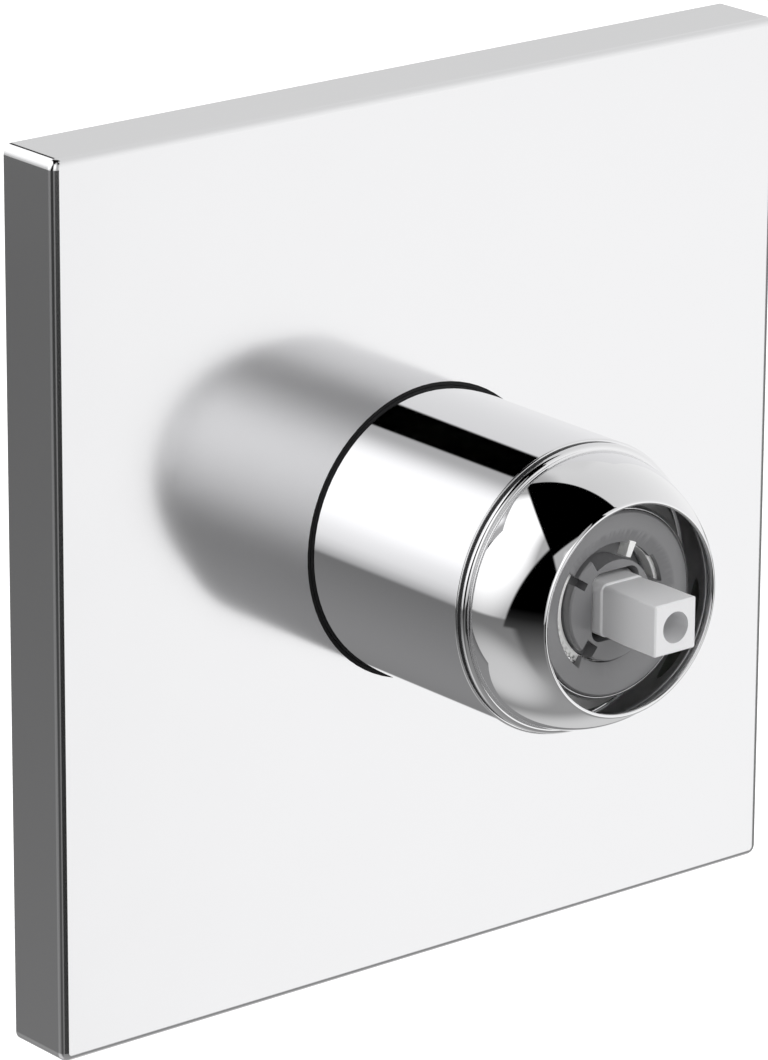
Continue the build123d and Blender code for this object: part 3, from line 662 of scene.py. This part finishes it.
MATERIALS = {
    "plate_chrome": plate_chrome,
    "tube_chrome": lambda f: polished("tube_chrome", f.chrome, f.tube_roughness, 0.01, 0.0, 0.45),
    "plated_brass": lambda f: polished("plated_brass", (0.74, 0.74, 0.73), 0.16, 0.05, 1e-6),
    "plated_plastic": lambda f: polished("plated_plastic", shade(f.chrome, 0.9), 0.12, 0.02, 1e-6),
    "pin_steel": lambda f: polished("pin_steel", (0.66, 0.66, 0.66), 0.2, 0.05, 1e-6),
    "cast_brass": cast_brass,
    "grey_plastic": lambda f: grained("grey_plastic", f.grey, 0.2, 900.0, 5000.0, 1.2e-6, contrast=0.05),
    "white_plastic": lambda f: grained("white_plastic", f.white, 0.3, 900.0, 5000.0, 2e-6, contrast=0.02),
    "spindle_metal": lambda f: grained("spindle_metal", f.spindle, 0.42, 1200.0, 6000.0, 4e-6, contrast=0.03),
    "seal_rubber": lambda f: grained("seal_rubber", f.rubber, 0.55, 1500.0, 6000.0, 6e-6, contrast=0.15,
                                      specular=0.25),
    "washer_plastic": lambda f: grained("washer_plastic", f.rubber, 0.4, 1500.0, 6000.0, 3e-6, contrast=0.1),
    "foam": lambda f: grained("foam", f.foam, 0.9, 1400.0, 4200.0, 1.6e-4, contrast=0.3),
    "alumina": lambda f: grained("alumina", f.ceramic, 0.12, 800.0, 6000.0, 1e-6, contrast=0.03),
    "acetal": lambda f: grained("acetal", f.acetal, 0.4, 900.0, 5000.0, 3e-6, contrast=0.03),
    "pressed_steel": lambda f: brushed("pressed_steel", f.steel, 0.3, (0.05, 1.0, 1.0)),
    "screw_steel": lambda f: polished("screw_steel", (0.66, 0.67, 0.69), 0.28, 0.08, 1e-6),
}


def finish(name):
    """A material by name, built at its first use."""
    return bpy.data.materials.get(PREFIX + name) or MATERIALS[name](settings().finish)


class MIXER_OT_plate(bpy.types.Operator):
    """Cover plate with its gasket, the seal in its hole and the frame behind it"""

    bl_idname = "mixer.plate"
    bl_label = "Plate and frame"

    def execute(self, context):
        paint("cover_plate", finish("plate_chrome"))
        paint("plate_gasket", finish("foam"))
        paint("plate_seal", finish("seal_rubber"))
        dressed("carrier_frame", finish("pressed_steel"), 0.25 * MM, 2)
        dressed("carrier_screws", finish("screw_steel"), 0.18 * MM, 2)
        return {"FINISHED"}


class MIXER_OT_tube(bpy.types.Operator):
    """Polished sleeve and domed cap"""

    bl_idname = "mixer.tube"
    bl_label = "Sleeve and cap"

    def sleeve(self, t):
        foot = -high("sleeve").y
        front = -low("sleeve").y
        outer, inner, edge = t.sleeve_radius, t.sleeve_radius - t.sleeve_wall, t.sleeve_edge
        profile = [(inner, foot), (outer - edge / 2, foot), (outer, foot + edge / 2)]
        profile += arc((outer - edge, front - edge), edge, 0, 90, 6) + [(inner + edge / 2, front), (inner, front - edge / 2)]
        mesh = lathe("sleeve", profile, t.segments)
        return piece("sleeve", mesh, [finish("tube_chrome")], "fixed", ("sleeve",))

    def cap(self, t):
        skirt_foot = -high("dome_cap").y
        top = -low("dome_cap").y
        bead_foot = -low("sleeve").y + (-low("cap_washer").y + low("sleeve").y)
        bead, edge, r = t.bead_radius, t.bead_edge, t.bead_round
        round_centre = (bead - r, bead_foot + edge)
        groove_low = round_centre[1] + r
        groove_high = groove_low + t.groove_width
        centre = (0.0, t.dome_centre)
        start = math.degrees(math.asin((groove_high - t.dome_centre) / t.dome_radius))
        end = math.degrees(math.asin((top - t.dome_centre) / t.dome_radius))
        rim = t.dome_radius * math.cos(math.radians(end))
        mouth = rim - t.mouth_land
        inner = t.dome_radius - t.dome_wall
        inside_top = math.degrees(math.acos(mouth / inner))
        inside_low = math.degrees(math.asin((t.cap_shoulder - t.dome_centre) / inner))
        e = t.mouth_edge
        profile = [(t.skirt_bore, skirt_foot), (t.skirt_radius, skirt_foot), (t.skirt_radius, bead_foot)]
        profile += arc((bead - edge, bead_foot + edge), edge, -90, 0, 5)
        profile += arc(round_centre, r, 8, 90, 10)
        profile += [(round_centre[0] - t.groove_depth, groove_low), (round_centre[0] - t.groove_depth, groove_high)]
        profile += arc(centre, t.dome_radius, start, end - 0.4, 48)
        profile += [(rim - e * 0.4, top - e * 0.15), (rim - e, top), (mouth + e, top), (mouth, top - e)]
        profile += arc(centre, inner, inside_top, inside_low, 24)
        profile += [(t.skirt_bore, t.cap_shoulder)]
        mesh = lathe("cap", profile, t.segments)
        return piece("dome_cap", mesh, [finish("tube_chrome")], "fixed", ("dome_cap",))

    def execute(self, context):
        t = settings().tube
        even_normals(self.sleeve(t))
        even_normals(self.cap(t))
        paint("sleeve_o_rings", finish("seal_rubber"))
        paint("cap_washer", finish("washer_plastic"))
        return {"FINISHED"}


class MIXER_OT_head(bpy.types.Operator):
    """Cartridge head: shell, cover, limit ring, rotor and spindle"""

    bl_idname = "mixer.head"
    bl_label = "Cartridge head"

    def limit_ring(self, h):
        """The ring and its lug, with teeth grown round it."""
        body = lathe_into(bmesh.new(), [(h.ring_bore, h.ring_low), (h.ring_root, h.ring_low),
                                        (h.ring_root, h.ring_high), (h.ring_bore, h.ring_high)], 216)
        for inner, outer, high in ((h.stop_inner, h.ring_root - h.tooth_height, h.stop_high),):
            add_sector(body, inner, outer, h.stop_angle, h.stop_width, h.stop_low, high)
        start = finished(body, "limit_ring")
        teeth = {"Teeth": h.teeth, "Radius": h.ring_root, "Tooth height": h.tooth_height,
                 "Tooth width": h.ring_root * math.pi / h.teeth, "Thickness": h.ring_high - h.ring_low,
                 "Distance": (h.ring_low + h.ring_high) / 2, "Turn": 0.25, "Material": finish("white_plastic")}
        mesh = grown("limit_ring", toothed_rim(), start, teeth)
        ring = piece("limit_ring", mesh, [finish("white_plastic")], "fixed", ("limit_ring",))
        soften(ring, h.edge / 2, 2)

    def execute(self, context):
        h = settings().head
        dressed("cartridge_housing", finish("plated_plastic"), h.edge)
        dressed("head_cover", finish("grey_plastic"), h.edge)
        self.limit_ring(h)
        dressed("rotor", finish("grey_plastic"), h.edge)
        dressed("spindle", finish("spindle_metal"), h.spindle_edge)
        paint("lever_pin", finish("pin_steel"))
        paint("clamp_nut", finish("plated_brass"))
        return {"FINISHED"}


class MIXER_OT_cartridge(bpy.types.Operator):
    """Discs, slider, base and seals inside the cartridge"""

    bl_idname = "mixer.cartridge"
    bl_label = "Cartridge inside"

    def execute(self, context):
        paint("disc_slider", finish("acetal"))
        paint("moving_disc", finish("alumina"))
        paint("fixed_disc", finish("alumina"))
        paint("disc_seals", finish("seal_rubber"))
        paint("base_seals", finish("seal_rubber"))
        paint("cartridge_base", finish("grey_plastic"))
        return {"FINISHED"}


class MIXER_OT_body(bpy.types.Operator):
    """Cast brass body with its pipe threads"""

    bl_idname = "mixer.body"
    bl_label = "Brass body"

    def execute(self, context):
        b = settings().body
        dressed("valve_body", finish("cast_brass"), 0.35 * MM)
        values = {"Radius": b.thread_radius, "Pitch": b.thread_pitch, "Length": b.thread_depth, "Ridge": b.thread_height,
                  "Start": b.port_reach - b.thread_depth - b.thread_pitch, "Behind wall": b.port_height,
                  "Material": finish("cast_brass")}
        mesh = grown("port_threads", screwed_bores(), bpy.data.meshes.new(PREFIX + "start"), values)
        even_normals(piece("port_threads", mesh, [finish("cast_brass")], "fixed", ()))
        return {"FINISHED"}


def between(tree, value, start, end, soft):
    """1 between start and end, with edges that are soft degrees wide each way."""
    rise = smooth_step(tree, value, start - soft, start + soft)
    fall = smooth_step(tree, value, end + soft, end - soft)
    return maths(tree, "MULTIPLY", rise, fall)


def both(tree, *masks):
    result = masks[0]
    for mask in masks[1:]:
        result = maths(tree, "MULTIPLY", result, mask)
    return result


def steps(tree, value, *stops):
    """A value that goes smoothly from stop to stop, each (place, value)."""
    first, last = stops[0][0], stops[-1][0]
    place = tree.nodes.new("ShaderNodeMapRange")
    wire(tree, value, place.inputs["Value"])
    place.inputs["From Min"].default_value = first
    place.inputs["From Max"].default_value = last
    ramp = tree.nodes.new("ShaderNodeValToRGB")
    tree.links.new(place.outputs[0], ramp.inputs[0])
    elements = ramp.color_ramp.elements
    for i, (spot, level) in enumerate(stops):
        at = (spot - first) / (last - first)
        element = elements[i] if i < 2 else elements.new(at)
        element.position = at
        element.color = (level, level, level, 1.0)
    return ramp.outputs[0]


def pool(tree, direction, azimuth, elevation, radius, level):
    """A soft round patch of light of a given radius in degrees."""
    a, e = math.radians(azimuth), math.radians(elevation)
    centre = (math.sin(a) * math.cos(e), -math.cos(a) * math.cos(e), math.sin(e))
    near = vector_maths(tree, "DOT_PRODUCT", direction, centre, output="Value")
    return smooth_step(tree, near, math.cos(math.radians(radius)), 1.0, 0.0, level)


def toward(tree, direction, azimuth, scale=1.0):
    """How far a direction leans to an azimuth in degrees, times a scale."""
    a = math.radians(azimuth)
    return vector_maths(tree, "DOT_PRODUCT", direction, (scale * math.sin(a), -scale * math.cos(a), 0.0), output="Value")


def softbox(tree, direction, height):
    """The left wall's pool of light, brightest at its upper middle."""
    ahead = toward(tree, direction, -119)
    across = maths(tree, "DIVIDE", toward(tree, direction, -29, 1 / 0.78), ahead)
    rise = maths(tree, "MINIMUM", maths(tree, "DIVIDE", height, ahead), 0.9)
    below = maths(tree, "SUBTRACT", rise, 0.9)
    square = maths(tree, "ADD", maths(tree, "MULTIPLY", across, across), maths(tree, "MULTIPLY", below, below))
    return maths(tree, "SUBTRACT", 2.61, maths(tree, "MULTIPLY", maths(tree, "SQRT", square), 1.75))


def slanted(tree, direction, height, azimuth, rise):
    """1 on the lower side of a straight edge that leaves the horizon at an azimuth."""
    edge = maths(tree, "SUBTRACT", toward(tree, direction, azimuth + 90, rise), height)
    return smooth_step(tree, edge, -0.06, 0.06)


def studio_light(tree):
    """Brightness of the surroundings by direction: pale walls, black ceiling and gaps, grey floor with pools of light."""
    direction = tree.nodes.new("ShaderNodeTexCoord").outputs["Generated"]
    split = tree.nodes.new("ShaderNodeSeparateXYZ")
    tree.links.new(direction, split.inputs[0])
    x, y, z = split.outputs
    turn = maths(tree, "ARCTAN2", x, maths(tree, "MULTIPLY", y, -1.0))
    azimuth = maths(tree, "MULTIPLY", turn, DEGREES)
    elevation = maths(tree, "MULTIPLY", maths(tree, "ARCSINE", z), DEGREES)

    right = steps(tree, elevation, (-20, 0.90), (0, 0.90), (20, 0.82), (45, 0.72), (75, 0.64))
    left = maths(tree, "MINIMUM", maths(tree, "MAXIMUM", softbox(tree, direction, z), 0.42), BRIGHT)
    wall = blend_to(tree, left, right, both(tree, smooth_step(tree, azimuth, 10, 24), smooth_step(tree, azimuth, 172, 150)))
    wall = blend_to(tree, wall, 0.67, both(tree, between(tree, azimuth, 129, 160, 4), smooth_step(tree, elevation, 62, 50)))
    wall = blend_to(tree, wall, 0.45, between(tree, azimuth, -64, 0, 3))
    window = both(tree, smooth_step(tree, azimuth, -50, -42), smooth_step(tree, azimuth, -3, -24),
                  smooth_step(tree, elevation, 48, 42))
    pane = steps(tree, elevation, (-12, 0.42), (-7.4, 0.70), (-3.4, 0.86), (3, 1.0), (10, BRIGHT))
    wall = blend_to(tree, wall, pane, window)
    rear = both(tree, maths(tree, "ADD", between(tree, azimuth, 158, 182, 1.5), between(tree, azimuth, -182, -150, 1.5)),
                between(tree, elevation, 15, 50, 3))
    wall = blend_to(tree, wall, BRIGHT, rear)
    rear_gap = both(tree, between(tree, azimuth, 151, 164, 1.5), between(tree, elevation, 22, 48, 2))
    wall = blend_to(tree, wall, 0.0, rear_gap)

    floor = steps(tree, elevation, (-90, 0.31), (-60, 0.28), (-45, 0.26), (-15, 0.18))
    floor = maths(tree, "ADD", floor, pool(tree, direction, -122, -52, 34, 0.33))
    floor = maths(tree, "ADD", floor, pool(tree, direction, 125, -44, 36, 0.36))
    dark = steps(tree, elevation, (-60, 0.27), (-50, 0.22), (-40, 0.155), (-30, 0.11), (-20, 0.06), (-10, 0.012), (-3, 0.0))
    lean = maths(tree, "ADD", azimuth, maths(tree, "MULTIPLY", elevation, 0.25))
    shadow = both(tree, smooth_step(tree, lean, -95, -86), smooth_step(tree, azimuth, -46, -54),
                  smooth_step(tree, elevation, -70, -40))
    floor = blend_to(tree, floor, dark, shadow)
    near_left = both(tree, between(tree, azimuth, -175, -131, 6), smooth_step(tree, elevation, -30, -14))
    floor = blend_to(tree, floor, 0.12, near_left)
    kerb = both(tree, between(tree, azimuth, -33, 31, 2), smooth_step(tree, elevation, -27, -24))
    floor = blend_to(tree, floor, 0.02, kerb)
    front = both(tree, between(tree, azimuth, 32, 52, 2), smooth_step(tree, elevation, -36, -30))
    floor = blend_to(tree, floor, 0.98, front)
    light = blend_to(tree, floor, wall, smooth_step(tree, elevation, -14, -11.5))

    top = toward(tree, direction, -126, 2.22)
    for place, rise in ((4, 2.0), (114, 3.65)):
        top = maths(tree, "MAXIMUM", top, toward(tree, direction, place, rise))
    light = blend_to(tree, light, 0.0, smooth_step(tree, maths(tree, "SUBTRACT", z, top), -0.05, 0.01))
    flag = both(tree, between(tree, azimuth, 1, 24, 1), smooth_step(tree, elevation, 25, 30))
    light = blend_to(tree, light, 0.0, flag)
    wedge = both(tree, slanted(tree, direction, z, -88, 2.67), slanted(tree, direction, z, -223, 3.2),
                 smooth_step(tree, azimuth, -130, -125))
    low_part = both(tree, smooth_step(tree, azimuth, -53, -55), smooth_step(tree, elevation, -20, -17))
    high_part = both(tree, smooth_step(tree, azimuth, -30, -32), smooth_step(tree, elevation, 20, 25))
    return blend_to(tree, light, dark, both(tree, wedge, maths(tree, "MAXIMUM", low_part, high_part)))


class MIXER_OT_stage(bpy.types.Operator):
    """Floor, lamps, surroundings and camera"""

    bl_idname = "mixer.stage"
    bl_label = "Studio"

    def floor(self, s):
        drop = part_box("cover_plate")[0].z - s.floor_drop
        half = s.floor_size / 2
        mesh = bpy.data.meshes.new("studio_floor")
        corners = [(-half, -half, drop), (half, -half, drop), (half, half, drop), (-half, half, drop)]
        mesh.from_pydata(corners, [], [(0, 1, 2, 3)])
        obj = bpy.data.objects.new("studio_floor", mesh)
        bpy.context.scene.collection.objects.link(obj)
        mat = bpy.data.materials.new("studio_floor")
        mat.use_nodes = True
        tree = mat.node_tree
        shader = tree.nodes["Principled BSDF"]
        shader.inputs["Base Color"].default_value = (0.85, 0.85, 0.85, 1.0)
        shader.inputs["Roughness"].default_value = 0.9
        shader.inputs["Emission Color"].default_value = (1.0, 1.0, 1.0, 1.0)
        path = tree.nodes.new("ShaderNodeLightPath")
        seen = maths(tree, "MULTIPLY", path.outputs["Is Camera Ray"], 0.7)
        tree.links.new(seen, shader.inputs["Emission Strength"])
        mesh.materials.append(mat)
        obj.visible_glossy = False

    def world(self, s):
        world = bpy.data.worlds.new("studio_world")
        bpy.context.scene.world = world
        world.use_nodes = True
        tree = world.node_tree
        background = tree.nodes["Background"]
        background.inputs["Color"].default_value = (1.0, 1.0, 1.0, 1.0)
        path = tree.nodes.new("ShaderNodeLightPath")
        plain = maths(tree, "MAXIMUM", path.outputs["Is Camera Ray"], path.outputs["Is Transmission Ray"])
        tree.links.new(blend_to(tree, studio_light(tree), 1.0, plain), background.inputs["Strength"])

    def lamp(self, name, place, size, power):
        data = bpy.data.lights.new(name, "AREA")
        data.shape = "SQUARE"
        data.size = size
        data.energy = power
        obj = bpy.data.objects.new(name, data)
        bpy.context.scene.collection.objects.link(obj)
        obj.location = place
        obj.rotation_euler = (Vector((0.0, -0.03, 0.0)) - Vector(place)).to_track_quat("-Z", "Y").to_euler()
        obj.visible_glossy = False

    def camera(self, s):
        a, e = s.azimuth, s.elevation
        back = Vector((-math.sin(a) * math.cos(e), -math.cos(a) * math.cos(e), math.sin(e)))
        data = bpy.data.cameras.new("camera")
        data.sensor_fit = "VERTICAL"
        data.sensor_height = 36.0
        data.lens = s.lens
        data.clip_start = 0.01
        data.clip_end = 50.0
        obj = bpy.data.objects.new("camera", data)
        bpy.context.scene.collection.objects.link(obj)
        look = (-back).to_track_quat("-Z", "Y").to_matrix().to_4x4()
        obj.matrix_world = Matrix.Translation(Vector(s.target) + back * s.distance) @ look @ Matrix.Rotation(-s.roll, 4, "Z")
        bpy.context.scene.camera = obj

    def execute(self, context):
        s = settings().studio
        self.floor(s)
        self.world(s)
        self.lamp("key_lamp", (0.35, -1.3, 0.75), 0.9, s.key)
        self.lamp("top_lamp", (-0.2, 0.1, 1.4), 1.2, s.key * 0.15)
        self.camera(s)
        bpy.context.scene.view_settings.view_transform = "Standard"
        return {"FINISHED"}


class MixerSettings(bpy.types.PropertyGroup):
    """All settings of the mixer."""

    tube: PointerProperty(type=MixerTube)
    head: PointerProperty(type=MixerHead)
    body: PointerProperty(type=MixerBody)
    finish: PointerProperty(type=MixerFinish)
    studio: PointerProperty(type=MixerStudio)


OPERATORS = (MIXER_OT_plate, MIXER_OT_tube, MIXER_OT_head, MIXER_OT_cartridge, MIXER_OT_body, MIXER_OT_stage)


class MIXER_PT_panel(bpy.types.Panel):
    """Buttons and settings of the mixer"""

    bl_idname = "MIXER_PT_panel"
    bl_label = "Concealed mixer"
    bl_space_type = "VIEW_3D"
    bl_region_type = "UI"
    bl_category = "Mixer"

    def draw(self, context):
        for operator in OPERATORS:
            self.layout.operator(operator.bl_idname)
        for name in ("tube", "head", "body", "finish", "studio"):
            group = getattr(context.scene.mixer, name)
            box = self.layout.box()
            box.label(text=name.capitalize())
            for prop in group.__annotations__:
                box.prop(group, prop)


CLASSES = (MixerTube, MixerHead, MixerBody, MixerFinish, MixerStudio, MixerSettings, *OPERATORS, MIXER_PT_panel)


def register():
    for cls in CLASSES:
        bpy.utils.register_class(cls)
    bpy.types.Scene.mixer = PointerProperty(type=MixerSettings)


def unregister():
    del bpy.types.Scene.mixer
    for cls in reversed(CLASSES):
        bpy.utils.unregister_class(cls)


def main():
    """Builds every piece in order."""
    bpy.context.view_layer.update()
    register()
    bpy.ops.mixer.plate()
    bpy.ops.mixer.tube()
    bpy.ops.mixer.head()
    bpy.ops.mixer.cartridge()
    bpy.ops.mixer.body()
    bpy.ops.mixer.stage()
    bpy.context.view_layer.update()


if __name__ == "__main__":
    main()
